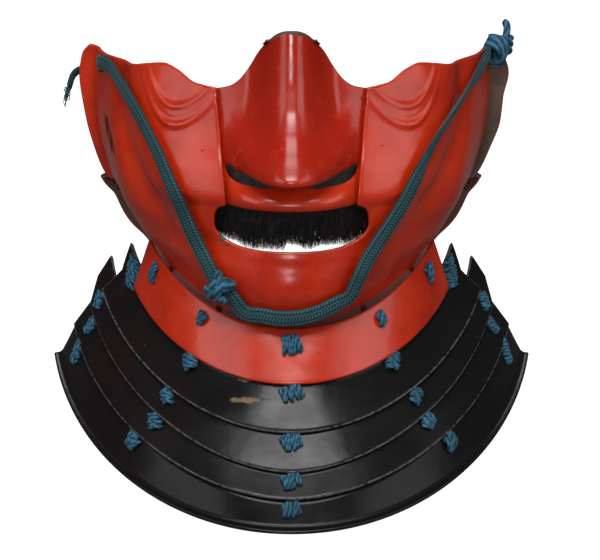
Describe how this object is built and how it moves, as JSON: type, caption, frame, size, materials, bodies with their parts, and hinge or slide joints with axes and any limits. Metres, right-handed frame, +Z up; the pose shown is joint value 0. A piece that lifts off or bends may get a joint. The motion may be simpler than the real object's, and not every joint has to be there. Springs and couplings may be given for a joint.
{
  "type": "samurai face guard",
  "caption": "Half-face armour mask in red lacquered iron with a separate nose plate, a hair fringe behind the lip and a laced throat guard of flared lames.",
  "frame": {"origin": "middle of the hollow that the wearer's face fills, on the plane of symmetry, level with the middle of the mouth opening", "axes": "the face looks along -Y, +Z is up and +X is the viewer's right; the face leaves the hollow along +Y"},
  "size_m": [0.2136, 0.1561, 0.1933],
  "materials": {
    "red_lacquer": "gloss",
    "black_lacquer": "gloss",
    "blue_braid": "matte",
    "teal_cord": "matte",
    "hair": "matte"
  },
  "bodies": {
    "root": {"face_shell": "red_lacquer", "nose_plate": "red_lacquer", "moustache": "hair", "collar_lame": "red_lacquer", "throat_lame_1": "black_lacquer", "throat_lame_2": "black_lacquer", "throat_lame_3": "black_lacquer", "throat_lame_4": "black_lacquer", "lacing_end_left": "blue_braid", "lacing_mid_left": "blue_braid", "lacing_center": "blue_braid", "lacing_mid_right": "blue_braid", "lacing_end_right": "blue_braid", "face_cord": "teal_cord", "cord_knot": "teal_cord", "cord_wrap": "teal_cord"}
  },
  "joints": []
}
